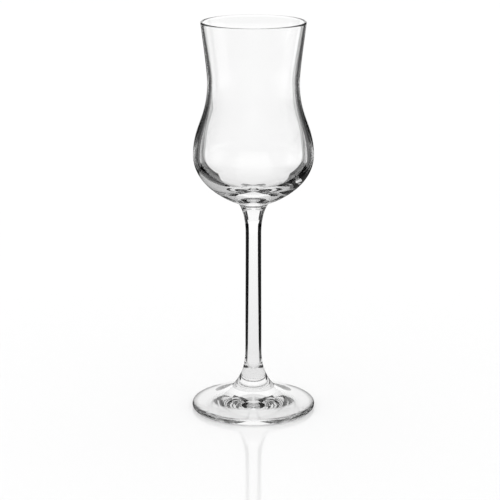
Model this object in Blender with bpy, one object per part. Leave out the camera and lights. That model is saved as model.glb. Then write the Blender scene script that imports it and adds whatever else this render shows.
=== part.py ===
# Grappa glass: a blown tulip bowl, a drawn stem and a pressed foot, welded end to end while hot.
# Metres, +Z up, with the origin at the middle of the plane that the foot rests on.

import math

import bmesh
import bpy
from mathutils import Vector
from mathutils.geometry import interpolate_bezier

# Whole glass: the straight shaft of the stem takes up what foot, flares and bowl leave
GLASS_HEIGHT = 0.1900

# Foot
FOOT_DIAMETER = 0.0600
FOOT_EDGE = 0.0030            # thickness of the disc at its rounded edge
FOOT_HEIGHT = 0.0102          # resting plane to the weld with the stem
FOOT_WELD_DIAMETER = 0.0206   # where foot and stem are joined
FOOT_SLOPE = 34.5             # degrees, how steeply the top falls away from the weld
FOOT_FALL = 7.0               # degrees, how steeply the top falls at the edge
RESTING_RING = 0.0012         # width of the flat ring that the glass stands on
HOLLOW_RISE = 0.0038          # height of the hollow under the foot, at its middle

# Stem
STEM_LOWER_DIAMETER = 0.0078
STEM_UPPER_DIAMETER = 0.0075
STEM_LOWER_FLARE = 0.0241     # height of the flare that runs into the foot
STEM_UPPER_FLARE = 0.0154     # height of the flare that carries the bowl
LOWER_SPLAY = 40.0            # degrees off the axis where stem and foot are joined
UPPER_SPLAY = 33.0            # degrees off the axis where stem and bowl are joined

# Bowl
BOWL_WELD_DIAMETER = 0.0146   # where stem and bowl are joined
BELLY_DIAMETER = 0.0576
WAIST_DIAMETER = 0.0437
RIM_DIAMETER = 0.0498
BELLY_RISE = 0.0234           # weld to belly
SHOULDER_RISE = 0.0348        # belly to waist
CHIMNEY_RISE = 0.0289         # waist to rim
BOWL_LIFT = 21.0              # degrees, how steeply the underside leaves the weld
RIM_FLARE = 6.5               # degrees off the axis at the rim
FLOOR_THICKNESS = 0.0053      # weld to the lowest point of the inside
BELLY_WALL = 0.0032
WAIST_WALL = 0.0017
RIM_WALL = 0.0011

# Fit and mesh
WELD_GAP = 0.0003             # left open between two welded faces
AROUND = 48                   # flats in a turn
POLE_MERGE = 1e-6

# How far each curve holds its end directions, as a share of its chord
BASE_HOLD = 0.27
BELLY_HOLD_BELOW = 0.41
BELLY_HOLD_ABOVE = 0.405
WAIST_HOLD_BELOW = 0.47
WAIST_HOLD_ABOVE = 0.21
RIM_HOLD = 0.24
INSIDE_BELLY_HOLD = 0.40
INSIDE_FLOOR_HOLD = 0.28
UPPER_FLARE_HOLD = 0.15
UPPER_SHAFT_HOLD = 0.60
SHAFT_HOLD = 0.33
LOWER_SHAFT_HOLD = 0.44
LOWER_FLARE_HOLD = 0.40
FOOT_WELD_HOLD = 0.46
FOOT_EDGE_HOLD = 0.33
HOLLOW_HOLD = 0.24

# Directions of travel along a profile, in degrees: 0 runs outwards and 90 runs up
OUT, UP, IN, DOWN = 0.0, 90.0, 180.0, 270.0


def heading(degrees):
    angle = math.radians(degrees)
    return Vector((math.cos(angle), math.sin(angle)))


def sweep(start, start_way, start_hold, end, end_way, end_hold, steps):
    """Points of a smooth curve from start to end, without its first point."""
    start, end = Vector(start), Vector(end)
    chord = (end - start).length
    leave = start + heading(start_way) * start_hold * chord
    arrive = end - heading(end_way) * end_hold * chord
    return interpolate_bezier(start, leave, arrive, end, steps + 1)[1:]


def arc(centre, radius, first, last, steps):
    """Points on an arc from one angle to another, in degrees."""
    turn = (last - first) / steps
    return [Vector(centre) + heading(first + turn * step) * radius for step in range(steps + 1)]


def turned(name, profile):
    """A closed solid of revolution: the profile runs from the axis and back to it."""
    bm = bmesh.new()
    ring = [bm.verts.new((point[0], 0.0, point[1])) for point in profile]
    for lower, upper in zip(ring, ring[1:]):
        bm.edges.new((lower, upper))
    bmesh.ops.spin(bm, geom=bm.verts[:] + bm.edges[:], cent=(0, 0, 0), axis=(0, 0, 1),
                   angle=math.tau, steps=AROUND, use_merge=True)
    bmesh.ops.remove_doubles(bm, verts=bm.verts[:], dist=POLE_MERGE)
    bmesh.ops.recalc_face_normals(bm, faces=bm.faces[:])
    mesh = bpy.data.meshes.new(name)
    bm.to_mesh(mesh)
    bm.free()
    mesh.shade_smooth()
    mesh.set_sharp_from_angle(angle=math.radians(40.0))
    mesh.materials.append(clear_glass(name + "_glass"))
    piece = bpy.data.objects.new(name, mesh)
    bpy.context.collection.objects.link(piece)
    return piece


def clear_glass(name):
    glass = bpy.data.materials.new(name)
    glass.use_nodes = True
    shader = glass.node_tree.nodes["Principled BSDF"]
    shader.inputs["Base Color"].default_value = (0.96, 0.97, 0.97, 1.0)
    shader.inputs["Roughness"].default_value = 0.02
    shader.inputs["Metallic"].default_value = 0.0
    shader.inputs["IOR"].default_value = 1.52
    shader.inputs["Transmission Weight"].default_value = 1.0
    return glass


def foot_profile():
    edge_radius = FOOT_EDGE / 2
    edge_centre = (FOOT_DIAMETER / 2 - edge_radius, edge_radius)
    ring_inside = (edge_centre[0] - RESTING_RING, 0.0)
    weld_edge = (FOOT_WELD_DIAMETER / 2, FOOT_HEIGHT)
    profile = [Vector((0.0, HOLLOW_RISE))]
    profile += sweep(profile[0], OUT, HOLLOW_HOLD, ring_inside, OUT, HOLLOW_HOLD, 10)
    profile += arc(edge_centre, edge_radius, DOWN, DOWN + 180.0 - FOOT_FALL, 7)
    profile += sweep(profile[-1], IN - FOOT_FALL, FOOT_EDGE_HOLD,
                     weld_edge, IN - FOOT_SLOPE, FOOT_WELD_HOLD, 10)
    profile.append(Vector((0.0, FOOT_HEIGHT)))
    return profile


def stem_profile(length):
    shaft_foot = (STEM_LOWER_DIAMETER / 2, STEM_LOWER_FLARE)
    shaft_head = (STEM_UPPER_DIAMETER / 2, length - STEM_UPPER_FLARE)
    profile = [Vector((0.0, 0.0)), Vector((FOOT_WELD_DIAMETER / 2, 0.0))]
    profile += sweep(profile[-1], UP + LOWER_SPLAY, LOWER_FLARE_HOLD,
                     shaft_foot, UP, LOWER_SHAFT_HOLD, 11)
    profile += sweep(shaft_foot, UP, SHAFT_HOLD, shaft_head, UP, SHAFT_HOLD, 6)
    profile += sweep(shaft_head, UP, UPPER_SHAFT_HOLD, (BOWL_WELD_DIAMETER / 2, length),
                     UP - UPPER_SPLAY, UPPER_FLARE_HOLD, 9)
    profile.append(Vector((0.0, length)))
    return profile


def bowl_profile():
    waist_height = BELLY_RISE + SHOULDER_RISE
    lip_radius = RIM_WALL / 2
    lip = (RIM_DIAMETER / 2 - lip_radius, waist_height + CHIMNEY_RISE - lip_radius)
    belly = (BELLY_DIAMETER / 2, BELLY_RISE)
    waist = (WAIST_DIAMETER / 2, waist_height)
    inside_belly = (BELLY_DIAMETER / 2 - BELLY_WALL, BELLY_RISE)
    inside_waist = (WAIST_DIAMETER / 2 - WAIST_WALL, waist_height)
    rounded_lip = arc(lip, lip_radius, -RIM_FLARE, 180.0 - RIM_FLARE, 6)
    # Outside, from the weld up to the lip
    profile = [Vector((0.0, 0.0)), Vector((BOWL_WELD_DIAMETER / 2, 0.0))]
    profile += sweep(profile[-1], BOWL_LIFT, BASE_HOLD, belly, UP, BELLY_HOLD_BELOW, 11)
    profile += sweep(belly, UP, BELLY_HOLD_ABOVE, waist, UP, WAIST_HOLD_BELOW, 10)
    profile += sweep(waist, UP, WAIST_HOLD_ABOVE, rounded_lip[0], UP - RIM_FLARE, RIM_HOLD, 6)
    # Over the lip and down the inside to the floor
    profile += rounded_lip[1:]
    profile += sweep(rounded_lip[-1], DOWN - RIM_FLARE, RIM_HOLD,
                     inside_waist, DOWN, WAIST_HOLD_ABOVE, 6)
    profile += sweep(inside_waist, DOWN, WAIST_HOLD_BELOW,
                     inside_belly, DOWN, BELLY_HOLD_ABOVE, 10)
    profile += sweep(inside_belly, DOWN, INSIDE_BELLY_HOLD,
                     (0.0, FLOOR_THICKNESS), IN, INSIDE_FLOOR_HOLD, 11)
    return profile


def main():
    for leftover in list(bpy.data.objects):
        bpy.data.objects.remove(leftover)

    glass = bpy.data.objects.new("grappa_glass", None)
    bpy.context.collection.objects.link(glass)

    stem_bottom = FOOT_HEIGHT + WELD_GAP
    bowl_bottom = GLASS_HEIGHT - CHIMNEY_RISE - SHOULDER_RISE - BELLY_RISE
    foot = turned("foot", foot_profile())
    stem = turned("stem", stem_profile(bowl_bottom - WELD_GAP - stem_bottom))
    bowl = turned("bowl", bowl_profile())
    stem.location.z = stem_bottom
    bowl.location.z = bowl_bottom
    for piece in (foot, stem, bowl):
        piece.parent = glass


main()
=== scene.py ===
import math
import bmesh
import bpy
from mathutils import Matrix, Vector
from mathutils.geometry import interpolate_bezier


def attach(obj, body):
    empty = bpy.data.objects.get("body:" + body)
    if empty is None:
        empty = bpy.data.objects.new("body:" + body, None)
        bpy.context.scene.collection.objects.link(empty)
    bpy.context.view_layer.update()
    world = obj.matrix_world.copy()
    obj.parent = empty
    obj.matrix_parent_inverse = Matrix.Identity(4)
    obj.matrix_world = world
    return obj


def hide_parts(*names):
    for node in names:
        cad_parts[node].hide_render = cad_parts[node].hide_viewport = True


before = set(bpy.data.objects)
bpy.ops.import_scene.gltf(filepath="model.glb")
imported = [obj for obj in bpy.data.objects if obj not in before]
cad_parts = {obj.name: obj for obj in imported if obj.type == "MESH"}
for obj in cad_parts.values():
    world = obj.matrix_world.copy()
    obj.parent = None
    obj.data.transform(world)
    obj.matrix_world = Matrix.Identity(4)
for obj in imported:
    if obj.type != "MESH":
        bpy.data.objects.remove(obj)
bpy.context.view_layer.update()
scene = bpy.context.scene
print("frame loaded:", ", ".join(sorted(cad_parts)))

mm = 0.001
cubicCm = 1e-6
outward, upward, inward, downward = 0.0, 90.0, 180.0, 270.0  # ways along a profile, in degrees


def toLinear(hexText):
    channels = [int(hexText[i:i + 2], 16) / 255 for i in (0, 2, 4)]
    return tuple(c / 12.92 if c <= 0.04045 else ((c + 0.055) / 1.055) ** 2.4 for c in channels) + (1.0,)


# one node: settings are attributes or input values, links give an input its source socket
def addNode(tree, kind, settings=None, links=None):
    node = tree.nodes.new(kind)
    for key, value in (settings or {}).items():
        if isinstance(key, str) and key not in node.inputs:
            setattr(node, key, value)
        else:
            node.inputs[key].default_value = value
    for key, source in (links or {}).items():
        tree.links.new(source, node.inputs[key])
    return node


# camera: a little under 20 degrees above the foot, long lens; its place is in metres
cameraSet = dict(place=(0.0, -0.8579, 0.3076), tilt=14.9, turn=0.1107, lens=132.3, sensor=36.0)

cameraData = bpy.data.cameras.new("camera")
cameraData.lens = cameraSet["lens"]
cameraData.sensor_width = cameraSet["sensor"]
camera = bpy.data.objects.new("camera", cameraData)
camera.location = cameraSet["place"]
camera.rotation_euler = (math.radians(90 - cameraSet["tilt"]), 0, math.radians(cameraSet["turn"]))
scene.collection.objects.link(camera)
scene.camera = camera
print("camera placed")


# profiles: points in the XZ plane, in mm, from the axis and back to it
def heading(degrees):
    return Vector((math.cos(math.radians(degrees)), math.sin(math.radians(degrees))))


def curveTo(points, way, hold, end, endWay, endHold, steps):
    start, end = points[-1], Vector(end)
    chord = (end - start).length
    leave = start + heading(way) * hold * chord
    arrive = end - heading(endWay) * endHold * chord
    points += interpolate_bezier(start, leave, arrive, end, steps + 1)[1:]


def straightTo(points, end, steps):
    start, end = points[-1], Vector(end)
    points += [start.lerp(end, (i + 1) / steps) for i in range(steps)]


def arcTo(points, centre, radius, first, last, steps):
    turn = (last - first) / steps
    points += [Vector(centre) + heading(first + turn * (i + 1)) * radius for i in range(steps)]


# lathe: distances in mm, and the angle in degrees from which an edge stays sharp
latheSet = dict(mergeWithin=0.0005, weldWithin=0.01, sharpFrom=25)


# turns the points of the piece's own profile round Z
def makeLathe(s):
    tree = bpy.data.node_groups.new("glassLathe", "GeometryNodeTree")
    face = tree.interface
    face.new_socket(name="Profile", in_out="INPUT", socket_type="NodeSocketGeometry")
    for name, kind in (("Segments", "NodeSocketInt"), ("Merge distance", "NodeSocketFloat"),
                       ("Lower weld", "NodeSocketFloat"), ("Upper weld", "NodeSocketFloat"),
                       ("Glass", "NodeSocketMaterial"), ("Weld face", "NodeSocketMaterial")):
        face.new_socket(name=name, in_out="INPUT", socket_type=kind)
    face.new_socket(name="Piece", in_out="OUTPUT", socket_type="NodeSocketGeometry")
    given = addNode(tree, "NodeGroupInput").outputs
    # a grid with a row for each point of the profile, and one column more than a turn has segments
    size = addNode(tree, "GeometryNodeAttributeDomainSize", links={0: given["Profile"]})
    columns = addNode(tree, "FunctionNodeIntegerMath", {"operation": "ADD", 1: 1}, {0: given["Segments"]})
    grid = addNode(tree, "GeometryNodeMeshGrid", links={"Vertices X": size.outputs["Point Count"],
                                                        "Vertices Y": columns.outputs[0]})
    index = addNode(tree, "GeometryNodeInputIndex")
    row = addNode(tree, "FunctionNodeIntegerMath", {"operation": "DIVIDE_FLOOR"},
                  {0: index.outputs[0], 1: columns.outputs[0]})
    column = addNode(tree, "FunctionNodeIntegerMath", {"operation": "MODULO"},
                     {0: index.outputs[0], 1: columns.outputs[0]})
    position = addNode(tree, "GeometryNodeInputPosition")
    onProfile = addNode(tree, "GeometryNodeSampleIndex", {"data_type": "FLOAT_VECTOR"},
                        {"Geometry": given["Profile"], "Value": position.outputs[0],
                         "Index": row.outputs[0]})
    radial = addNode(tree, "ShaderNodeSeparateXYZ", links={0: onProfile.outputs[0]})
    share = addNode(tree, "ShaderNodeMath", {"operation": "DIVIDE"},
                    {0: column.outputs[0], 1: given["Segments"]})
    angle = addNode(tree, "ShaderNodeMath", {"operation": "MULTIPLY", 1: math.tau}, {0: share.outputs[0]})
    flat = []
    for part in ("COSINE", "SINE"):
        turn = addNode(tree, "ShaderNodeMath", {"operation": part}, {0: angle.outputs[0]})
        flat.append(addNode(tree, "ShaderNodeMath", {"operation": "MULTIPLY"},
                            {0: radial.outputs[0], 1: turn.outputs[0]}))
    place = addNode(tree, "ShaderNodeCombineXYZ",
                    links={0: flat[0].outputs[0], 1: flat[1].outputs[0], 2: radial.outputs[2]})
    turned = addNode(tree, "GeometryNodeSetPosition",
                     links={"Geometry": grid.outputs["Mesh"], "Position": place.outputs[0]})
    # closes the seam and the two poles
    merged = addNode(tree, "GeometryNodeMergeByDistance",
                     links={"Geometry": turned.outputs[0], "Distance": given["Merge distance"]})
    smooth = addNode(tree, "GeometryNodeSetShadeSmooth", links={0: merged.outputs[0]})
    real = addNode(tree, "GeometryNodeRealizeInstances", links={0: smooth.outputs[0]})
    glass = addNode(tree, "GeometryNodeSetMaterial",
                    links={"Geometry": real.outputs[0], "Material": given["Glass"]})
    # faces that lie at the height of a weld
    height = addNode(tree, "ShaderNodeSeparateXYZ", links={0: position.outputs[0]})
    level = [addNode(tree, "FunctionNodeCompare", {"operation": "EQUAL", "Epsilon": s["weldWithin"] * mm},
                     {0: height.outputs[2], 1: given[name]}) for name in ("Lower weld", "Upper weld")]
    either = addNode(tree, "FunctionNodeBooleanMath", {"operation": "OR"},
                     {0: level[0].outputs[0], 1: level[1].outputs[0]})
    welds = addNode(tree, "GeometryNodeSetMaterial",
                    links={"Geometry": glass.outputs[0], "Selection": either.outputs[0],
                           "Material": given["Weld face"]})
    addNode(tree, "NodeGroupOutput", links={0: welds.outputs[0]})
    return tree


lathe = makeLathe(latheSet)


# fused faces inside the glass: nothing is seen there, light goes straight on
def makeWeldFace():
    material = bpy.data.materials.new("fusedWeldFace")
    material.use_nodes = True
    tree = material.node_tree
    tree.nodes.remove(tree.nodes["Principled BSDF"])
    clear = addNode(tree, "ShaderNodeBsdfTransparent")
    tree.links.new(clear.outputs[0], tree.nodes["Material Output"].inputs["Surface"])
    return material


weldFace = makeWeldFace()


def turnPiece(name, node, points, segments, lowerWeld, upperWeld, glass):
    mesh = bpy.data.meshes.new(name + "Profile")
    mesh.from_pydata([(p[0] * mm, 0, p[1] * mm) for p in points],
                     [(i, i + 1) for i in range(len(points) - 1)], [])
    piece = bpy.data.objects.new(name, mesh)
    scene.collection.objects.link(piece)
    modifier = piece.modifiers.new("lathe", "NODES")
    modifier.node_group = lathe
    given = {"Segments": segments, "Merge distance": latheSet["mergeWithin"] * mm,
             "Lower weld": lowerWeld * mm, "Upper weld": upperWeld * mm,
             "Glass": glass, "Weld face": weldFace}
    for item in lathe.interface.items_tree:
        if item.in_out == "INPUT" and item.name in given:
            modifier[item.identifier] = given[item.name]
    evaluated = piece.evaluated_get(bpy.context.evaluated_depsgraph_get())
    made = bpy.data.meshes.new_from_object(evaluated)
    piece.modifiers.remove(modifier)
    piece.data = made
    made.name = name
    bpy.data.meshes.remove(mesh)
    shell = bmesh.new()
    shell.from_mesh(made)
    bmesh.ops.recalc_face_normals(shell, faces=shell.faces[:])
    openEdges = sum(1 for edge in shell.edges if len(edge.link_faces) != 2)
    volume = shell.calc_volume(signed=True) / cubicCm
    shell.to_mesh(made)
    shell.free()
    made.set_sharp_from_angle(angle=math.radians(latheSet["sharpFrom"]))
    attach(piece, "root")
    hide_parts(node)
    print(name, "turned:", len(made.polygons), "faces, open edges", openEdges,
          "volume %.2f cm3" % volume)


# clear glass: each piece bends light the same, but was formed in its own way
glassSet = dict(tint="fefefe", roughness=0.0, ior=1.52, waveDetail=1.0, waveRoughness=0.4)


# grain is how far apart its waves lie along X, Y and Z, and wave is how deep they are, in mm
def makeGlass(name, grain, wave):
    material = bpy.data.materials.new(name)
    material.use_nodes = True
    tree = material.node_tree
    shader = tree.nodes["Principled BSDF"]
    shader.inputs["Base Color"].default_value = toLinear(glassSet["tint"])
    shader.inputs["Roughness"].default_value = glassSet["roughness"]
    shader.inputs["IOR"].default_value = glassSet["ior"]
    shader.inputs["Transmission Weight"].default_value = 1.0
    where = addNode(tree, "ShaderNodeTexCoord")
    stretch = addNode(tree, "ShaderNodeMapping", {"Scale": tuple(1 / (g * mm) for g in grain)},
                      {"Vector": where.outputs["Object"]})
    noise = addNode(tree, "ShaderNodeTexNoise",
                    {"Scale": 1.0, "Detail": glassSet["waveDetail"], "Roughness": glassSet["waveRoughness"]},
                    {"Vector": stretch.outputs[0]})
    bump = addNode(tree, "ShaderNodeBump", {"Strength": 1.0, "Distance": wave * mm},
                   {"Height": noise.outputs[0]})
    tree.links.new(bump.outputs[0], shader.inputs["Normal"])
    return material


# welds: heights in the middle of each; an end without a weld gets none, a height below the table
weldSet = dict(stemFoot=10.35, stemFootRadius=10.3, bowlStem=102.75, bowlStemRadius=7.3, none=-1.0, steps=4)

# foot: pressed disc, raised middle, hollow underneath
footSet = dict(radius=30.0, edge=3.0, slope=34.5, fall=7.0, ring=1.2, hollow=3.8, weldHold=0.46,
               edgeHold=0.33, hollowHold=0.24, segments=256, hollowSteps=44, ringSteps=3, edgeSteps=22,
               topSteps=48, grain=(14, 14, 14), wave=0.03)


def footProfile(s, w):
    edgeRound = s["edge"] / 2
    edgeMiddle = (s["radius"] - edgeRound, edgeRound)
    points = [Vector((0, s["hollow"]))]
    curveTo(points, outward, s["hollowHold"], (edgeMiddle[0] - s["ring"], 0),
            outward, s["hollowHold"], s["hollowSteps"])
    straightTo(points, (edgeMiddle[0], 0), s["ringSteps"])
    arcTo(points, edgeMiddle, edgeRound, downward, downward + 180 - s["fall"], s["edgeSteps"])
    curveTo(points, inward - s["fall"], s["edgeHold"], (w["stemFootRadius"], w["stemFoot"]),
            inward - s["slope"], s["weldHold"], s["topSteps"])
    straightTo(points, (0, w["stemFoot"]), w["steps"])
    return points


# pressed crystal: the mould leaves slow, shallow unevenness, about 14 mm across
pressedCrystal = makeGlass("pressedCrystal", footSet["grain"], footSet["wave"])
turnPiece("footDisc", "foot", footProfile(footSet, weldSet), footSet["segments"],
          weldSet["none"], weldSet["stemFoot"], pressedCrystal)

# stem: drawn rod, flared to both ends
stemSet = dict(footSplay=40.0, footHold=0.40, lowRadius=3.9, lowHeight=34.6, lowHold=0.44, shaftHold=0.33,
               highRadius=3.75, highHeight=87.2, highHold=0.60, headSplay=33.0, headHold=0.15,
               segments=160, footSteps=64, shaftSteps=40, headSteps=52, grain=(6, 6, 40), wave=0.01)


def stemProfile(s, w):
    points = [Vector((0, w["stemFoot"]))]
    straightTo(points, (w["stemFootRadius"], w["stemFoot"]), w["steps"])
    curveTo(points, upward + s["footSplay"], s["footHold"], (s["lowRadius"], s["lowHeight"]),
            upward, s["lowHold"], s["footSteps"])
    curveTo(points, upward, s["shaftHold"], (s["highRadius"], s["highHeight"]),
            upward, s["shaftHold"], s["shaftSteps"])
    curveTo(points, upward, s["highHold"], (w["bowlStemRadius"], w["bowlStem"]),
            upward - s["headSplay"], s["headHold"], s["headSteps"])
    straightTo(points, (0, w["bowlStem"]), w["steps"])
    return points


# drawn crystal: pulling the rod leaves faint cords, 6 mm wide and drawn out along it
drawnCrystal = makeGlass("drawnCrystal", stemSet["grain"], stemSet["wave"])
turnPiece("drawnStem", "stem", stemProfile(stemSet, weldSet), stemSet["segments"],
          weldSet["stemFoot"], weldSet["bowlStem"], drawnCrystal)

# bowl: blown tulip, thick floor, fire-polished lip
bowlSet = dict(lift=21.0, baseHold=0.27, bellyRadius=28.8, bellyHeight=126.3, bellyBelow=0.41,
               bellyAbove=0.405, waistRadius=21.85, waistHeight=161.1, waistBelow=0.47, waistAbove=0.21,
               rimRadius=24.9, rimHeight=190.0, rimFlare=6.5, rimHold=0.24, rimWall=1.1, waistWall=1.7,
               bellyWall=3.2, floorHeight=108.2, insideBelly=0.40, insideFloor=0.28, segments=256,
               bottomSteps=60, shoulderSteps=44, chimneySteps=32, lipSteps=16, grain=(20, 20, 26), wave=0.02)


def bowlProfile(s, w):
    lipRound = s["rimWall"] / 2
    lip = Vector((s["rimRadius"] - lipRound, s["rimHeight"] - lipRound))
    flare = s["rimFlare"]
    belly, waist = (s["bellyRadius"], s["bellyHeight"]), (s["waistRadius"], s["waistHeight"])
    insideBelly = (belly[0] - s["bellyWall"], belly[1])
    insideWaist = (waist[0] - s["waistWall"], waist[1])
    # outside, from the weld up to the lip
    points = [Vector((0, w["bowlStem"]))]
    straightTo(points, (w["bowlStemRadius"], w["bowlStem"]), w["steps"])
    curveTo(points, s["lift"], s["baseHold"], belly, upward, s["bellyBelow"], s["bottomSteps"])
    curveTo(points, upward, s["bellyAbove"], waist, upward, s["waistBelow"], s["shoulderSteps"])
    curveTo(points, upward, s["waistAbove"], lip + heading(-flare) * lipRound,
            upward - flare, s["rimHold"], s["chimneySteps"])
    # over the lip and down the inside to the floor
    arcTo(points, lip, lipRound, -flare, 180 - flare, s["lipSteps"])
    curveTo(points, downward - flare, s["rimHold"], insideWaist, downward, s["waistAbove"], s["chimneySteps"])
    curveTo(points, downward, s["waistBelow"], insideBelly, downward, s["bellyAbove"], s["shoulderSteps"])
    curveTo(points, downward, s["insideBelly"], (0, s["floorHeight"]),
            inward, s["insideFloor"], s["bottomSteps"])
    return points


# blown crystal: clear and colourless, with slow waves about 20 mm across from the blowing
blownCrystal = makeGlass("blownCrystal", bowlSet["grain"], bowlSet["wave"])
turnPiece("tulipBowl", "bowl", bowlProfile(bowlSet, weldSet), bowlSet["segments"],
          weldSet["bowlStem"], weldSet["none"], blownCrystal)

# studio: white table under a white sweep, seen by the glass through a slot between dark cards, all in mm
turntable = bpy.data.objects.new("turntable", None)  # the studio keeps facing the camera
scene.collection.objects.link(turntable)
follow = turntable.constraints.new("LOCKED_TRACK")
follow.target = camera
follow.track_axis = "TRACK_NEGATIVE_Y"
follow.lock_axis = "LOCK_Z"


def studioCard(name, points, faces, material):
    mesh = bpy.data.meshes.new(name)
    mesh.from_pydata([tuple(c * mm for c in point) for point in points], [], faces)
    mesh.materials.append(material)
    card = bpy.data.objects.new(name, mesh)
    card.parent = turntable
    scene.collection.objects.link(card)
    return card


# a strip of paper: its points go in pairs, one to each of its two edges
def studioStrip(name, points, material):
    faces = [(i, i + 1, i + 3, i + 2) for i in range(0, len(points) - 2, 2)]
    return studioCard(name, points, faces, material)


# 1 for rays that come through glass or off a gloss, 0 for the camera's own and for matt ones
def glassRays(tree):
    ray = addNode(tree, "ShaderNodeLightPath")
    seen = addNode(tree, "ShaderNodeMath", {"operation": "MAXIMUM"},
                   {0: ray.outputs["Is Transmission Ray"], 1: ray.outputs["Is Glossy Ray"]})
    return seen.outputs[0]


# light that only clear glass and gloss meet: after a matt bounce everything is white
def glassLight(tree, level):
    ray = addNode(tree, "ShaderNodeLightPath")
    matt = addNode(tree, "ShaderNodeMath", {"operation": "MINIMUM", 1: 1.0},
                   {0: ray.outputs["Diffuse Depth"]})
    strength = addNode(tree, "ShaderNodeMix", {"B": 1.0}, {"Factor": matt.outputs[0]})
    if isinstance(level, float):
        strength.inputs["A"].default_value = level
    else:
        tree.links.new(level, strength.inputs["A"])
    return strength.outputs[0]


# paper at one level of light; one that is lit on its front only is clear from behind
def cardPaper(name, level, frontOnly=False):
    material = bpy.data.materials.new(name)
    material.use_nodes = True
    tree = material.node_tree
    tree.nodes.remove(tree.nodes["Principled BSDF"])
    paper = addNode(tree, "ShaderNodeEmission", links={"Strength": glassLight(tree, level)})
    if frontOnly:
        way = addNode(tree, "ShaderNodeNewGeometry")
        clear = addNode(tree, "ShaderNodeBsdfTransparent")
        paper = addNode(tree, "ShaderNodeMixShader",
                        links={0: way.outputs["Backfacing"], 1: paper.outputs[0], 2: clear.outputs[0]})
    tree.links.new(paper.outputs[0], tree.nodes["Material Output"].inputs["Surface"])
    return material


# table: painted levels of light and shade that only glass and gloss see. Sides, front and behind are told
# apart by the sine and cosine of the way from the middle of the table, and the rest by radius
tableSet = dict(size=6000, drop=0.05, white="ffffff", gloss=0.07,
                bright=1.12, aheadFrom=0.5, aheadTo=0.75,
                sideLeft=0.38, sideRight=0.75, sideSine=0.5,
                front=0.15, frontFrom=-0.8, frontTo=0.0,
                atFoot=0.77, shadeFrom=32, shadeTo=420,
                distant=0.92, distantFrom=1220, distantTo=1300,
                besideFoot=0.03, besideFrom=0.5, besideTo=0.65, besideNear=380, besideFar=460,
                underFoot=0.82, footFrom=26, footTo=31,
                glintFrom=0.02, glintTo=0.1, glintLow=0.05, glintBehind=0.5)
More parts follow.
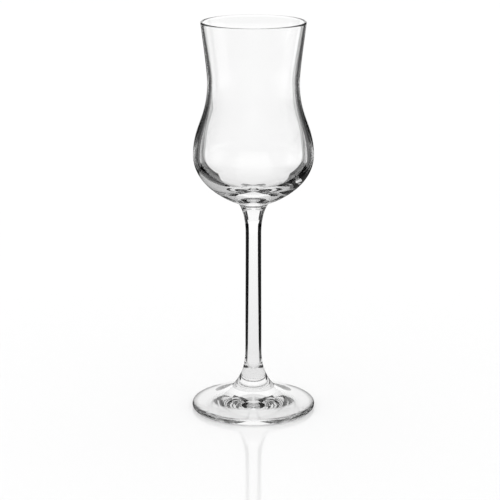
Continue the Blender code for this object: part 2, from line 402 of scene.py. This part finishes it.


# white acrylic with a soft sheen; through the glass it shows painted light, bright behind and dim beside it
def tableTop(s):
    material = bpy.data.materials.new("whiteAcrylicTable")
    material.use_nodes = True
    tree = material.node_tree
    acrylic = tree.nodes["Principled BSDF"]
    acrylic.inputs["Base Color"].default_value = toLinear(s["white"])
    acrylic.inputs["Roughness"].default_value = s["gloss"]
    where = addNode(tree, "ShaderNodeTexCoord")
    axes = addNode(tree, "ShaderNodeSeparateXYZ", links={0: where.outputs["Object"]})
    radius = addNode(tree, "ShaderNodeVectorMath", {"operation": "LENGTH"},
                     {0: where.outputs["Object"]}).outputs["Value"]
    sine = addNode(tree, "ShaderNodeMath", {"operation": "DIVIDE"}, {0: axes.outputs[0], 1: radius})
    cosine = addNode(tree, "ShaderNodeMath", {"operation": "DIVIDE"}, {0: axes.outputs[1], 1: radius})
    # round the glass: painted light, a level for each side, bright behind it and dim in front
    side = addNode(tree, "ShaderNodeMapRange",
                   {"From Min": -s["sideSine"], "From Max": s["sideSine"],
                    "To Min": s["sideLeft"], "To Max": s["sideRight"]}, {"Value": sine.outputs[0]})
    ahead = addNode(tree, "ShaderNodeMapRange",
                    {"interpolation_type": "SMOOTHSTEP", "From Min": s["aheadFrom"],
                     "From Max": s["aheadTo"], "To Max": s["bright"]},
                    {"Value": cosine.outputs[0], "To Min": side.outputs[0]})
    turned = addNode(tree, "ShaderNodeMapRange",
                     {"interpolation_type": "SMOOTHSTEP", "From Min": s["frontFrom"],
                      "From Max": s["frontTo"], "To Min": s["front"]},
                     {"Value": cosine.outputs[0], "To Max": ahead.outputs[0]})
    # outwards: painted shade, dimmer at the foot and again far off
    distant = addNode(tree, "ShaderNodeMapRange",
                      {"From Min": s["distantFrom"] * mm, "From Max": s["distantTo"] * mm,
                       "To Min": 1.0, "To Max": s["distant"]}, {"Value": radius})
    shade = addNode(tree, "ShaderNodeMapRange",
                    {"From Min": s["shadeFrom"] * mm, "From Max": s["shadeTo"] * mm,
                     "To Min": s["atFoot"]}, {"Value": radius, "To Max": distant.outputs[0]})
    far = addNode(tree, "ShaderNodeMath", {"operation": "MULTIPLY"},
                  {0: turned.outputs[0], 1: shade.outputs[0]})
    # close beside the foot the table is painted dark, a painted shadow of the cards
    aside = addNode(tree, "ShaderNodeMath", {"operation": "ABSOLUTE"}, {0: sine.outputs[0]})
    sector = addNode(tree, "ShaderNodeMapRange",
                     {"interpolation_type": "SMOOTHSTEP", "From Min": s["besideFrom"],
                      "From Max": s["besideTo"]}, {"Value": aside.outputs[0]})
    within = addNode(tree, "ShaderNodeMapRange",
                     {"interpolation_type": "SMOOTHSTEP", "From Min": s["besideNear"] * mm,
                      "From Max": s["besideFar"] * mm, "To Min": 1.0, "To Max": 0.0}, {"Value": radius})
    close = addNode(tree, "ShaderNodeMath", {"operation": "MULTIPLY"},
                    {0: sector.outputs[0], 1: within.outputs[0]})
    near = addNode(tree, "ShaderNodeMix", {"B": s["besideFoot"]},
                   {"Factor": close.outputs[0], "A": far.outputs[0]})
    # under the foot: painted shade on the table
    outside = addNode(tree, "ShaderNodeMapRange",
                      {"interpolation_type": "SMOOTHSTEP", "From Min": s["footFrom"] * mm,
                       "From Max": s["footTo"] * mm}, {"Value": radius})
    level = addNode(tree, "ShaderNodeMix", {"A": s["underFoot"]},
                    {"Factor": outside.outputs[0], "B": near.outputs[0]})
    # in reflections the table is painted dark except its middle: glancing off the edges of the glass, only
    # the middle of the table behind it is met bright
    ray = addNode(tree, "ShaderNodeLightPath")
    glint = addNode(tree, "ShaderNodeMapRange",
                    {"interpolation_type": "SMOOTHSTEP", "From Min": s["glintFrom"],
                     "From Max": s["glintTo"], "To Min": 1.0, "To Max": s["glintLow"]},
                    {"Value": aside.outputs[0]})
    behind = addNode(tree, "ShaderNodeMath", {"operation": "GREATER_THAN", 1: s["glintBehind"]},
                     {0: cosine.outputs[0]})
    glancing = addNode(tree, "ShaderNodeMath", {"operation": "MULTIPLY"},
                       {0: ray.outputs["Is Reflection Ray"], 1: behind.outputs[0]})
    kept = addNode(tree, "ShaderNodeMix", {"A": 1.0}, {"Factor": glancing.outputs[0], "B": glint.outputs[0]})
    dimmed = addNode(tree, "ShaderNodeMath", {"operation": "MULTIPLY"},
                     {0: level.outputs[0], 1: kept.outputs[0]})
    lit = addNode(tree, "ShaderNodeEmission", links={"Strength": glassLight(tree, dimmed.outputs[0])})
    both = addNode(tree, "ShaderNodeMixShader",
                   links={0: glassRays(tree), 1: acrylic.outputs[0], 2: lit.outputs[0]})
    tree.links.new(both.outputs[0], tree.nodes["Material Output"].inputs["Surface"])
    return material


def layTable(s):
    half, drop = s["size"] / 2, -s["drop"]
    studioCard("table", [(-half, -half, drop), (half, -half, drop), (half, half, drop), (-half, half, drop)],
               [(0, 1, 2, 3)], tableTop(s))


# cards: they stand close behind the glass, cut to run along it, with a paler strip that lines the slot.
# A row is a height and how far out the card begins; a high row has the start of the pale strip before that
cardSet = dict(away=62, outLow=230, outLeft=76, outRight=71, outGrey=100, lineWide=2.5,
               blackest=0.0, black=0.03, grey=0.2, line=0.42, pale=0.62,
               lowLeft=((0, 42), (12, 36.5), (25, 33), (45, 29), (62, 27.5), (85, 26)),
               lowRight=((0, 44), (12, 38), (25, 34.5), (45, 31), (62, 29.5), (85, 27.5)),
               highLeft=((85, 27, 27), (89, 31, 31.5), (94, 35, 36), (100, 38, 39.5), (107, 40, 43),
                         (113, 41.5, 46), (125, 38, 45), (134, 31.5, 44), (150, 43, 43), (172, 44, 44),
                         (320, 46, 46)),
               highRight=((85, 28, 28), (89, 31.5, 32), (94, 35, 36), (100, 38, 39.5), (107, 40, 43),
                          (113, 42, 46), (125, 38.5, 45), (134, 32.5, 43), (150, 31.5, 41), (172, 34, 44),
                          (320, 35, 46)))


def slotCards(c):
    blackest, black = cardPaper("blackestCard", c["blackest"]), cardPaper("blackCard", c["black"])
    grey = cardPaper("greyCard", c["grey"])
    line, pale = cardPaper("paleStripEdge", c["line"]), cardPaper("paleStrip", c["pale"])
    cards = []
    for name, side in (("Left", -1), ("Right", 1)):
        low, high, out = c["low" + name], c["high" + name], c["out" + name]
        lined = [(height, slot, min(card, slot + c["lineWide"]), card) for height, slot, card in high]
        strips = (("cardFoot", blackest, [(height, card, c["outLow"]) for height, card in low]),
                  ("card", black, [(height, card, out) for height, slot, card in high]),
                  ("greyCard", grey, [(height, out, c["outGrey"]) for height, slot, card in high]),
                  ("paleEdge", line, [(height, slot, edge) for height, slot, edge, card in lined]),
                  ("paleStrip", pale, [(height, edge, card) for height, slot, edge, card in lined]))
        for piece, paper, rows in strips:
            points = [(side * x, c["away"], height) for height, *ends in rows for x in ends]
            cards.append(studioStrip(piece + name, points, paper))
        cards[-len(strips)].visible_glossy = False  # the gloss of the table leaves the low card out
    return cards


# papers for the underside of the bowl: shelves lie level beside its bottom, lit underneath, and two
# papers stand well out to the sides; the corners of a shelf are in X and Y
shelfSet = dict(shelf=dict(height=121, level=0.62,
                           corners=((5, 33), (5, 61.9), (48, 61.9), (48, 10), (32, 10))),
                shelfLow=dict(height=114, level=0.5,
                              corners=((14, 25), (14, 36), (31, 44), (31, 25))),
                shelfTwin=dict(height=121, level=0.62,
                               corners=((-5, 28), (-31, 34), (-31, 61.9), (-5, 61.9))))
sideSet = dict(sideLeft=dict(out=-400, near=20, far=110, low=195, high=300, level=0.9),
               sideRight=dict(out=400, near=-110, far=230, low=140, high=300, level=0.5))


def bowlPapers(shelves, sides):
    papers = []
    for name, s in shelves.items():
        corners = [(x, y, s["height"]) for x, y in s["corners"]]
        paper = cardPaper(name + "Paper", s["level"], frontOnly=True)
        papers.append(studioCard(name + "Paper", corners, [tuple(range(len(corners)))], paper))
    for name, s in sides.items():
        points = [(s["out"], y, z) for z in (s["low"], s["high"]) for y in (s["near"], s["far"])]
        papers.append(studioStrip(name + "Paper", points, cardPaper(name + "Paper", s["level"])))
    for paper in papers:
        paper.visible_glossy = False
    return papers


# sweep: stands behind the glass and bends over above it; rise and half width are in degrees from the glass
sweepSet = dict(away=2000, steps=8, sweepBack=dict(first=0, last=45, wide=24.0, level=1.03),
                sweepOver=dict(first=45, last=145, wide=30.0, level=0.8))


def hangSweep(s):
    sheets = []
    for name in ("sweepBack", "sweepOver"):
        sheet = s[name]
        wide = s["away"] * math.tan(math.radians(sheet["wide"]))
        points = []
        for i in range(s["steps"] + 1):
            rise = heading(sheet["first"] + (sheet["last"] - sheet["first"]) * i / s["steps"]) * s["away"]
            points += [(-wide, rise[0], rise[1]), (wide, rise[0], rise[1])]
        sheets.append(studioStrip(name, points, cardPaper(name, sheet["level"])))
    return sheets


# room: white to the camera and to matt surfaces, dark to glass and gloss
roomSet = dict(white="ffffff", dark=0.03)


def makeRoom(s):
    world = bpy.data.worlds.new("studioRoom")
    world.use_nodes = True
    tree = world.node_tree
    level = addNode(tree, "ShaderNodeMix", {"A": 1.0},
                    {"Factor": glassRays(tree), "B": glassLight(tree, s["dark"])})
    tree.nodes["Background"].inputs["Color"].default_value = toLinear(s["white"])
    tree.links.new(level.outputs[0], tree.nodes["Background"].inputs["Strength"])
    scene.world = world


layTable(tableSet)
for card in slotCards(cardSet) + bowlPapers(shelfSet, sideSet) + hangSweep(sweepSet):
    card.visible_camera = card.visible_diffuse = card.visible_shadow = False  # only glass and gloss see it
    card.visible_volume_scatter = False
makeRoom(roomSet)

# light passes many walls of glass on its way
bounceSet = dict(max_bounces=24, transmission_bounces=24, glossy_bounces=16, transparent_max_bounces=24)

scene.view_settings.view_transform = "Standard"
for name, count in bounceSet.items():
    setattr(scene.cycles, name, count)
print("studio lit")
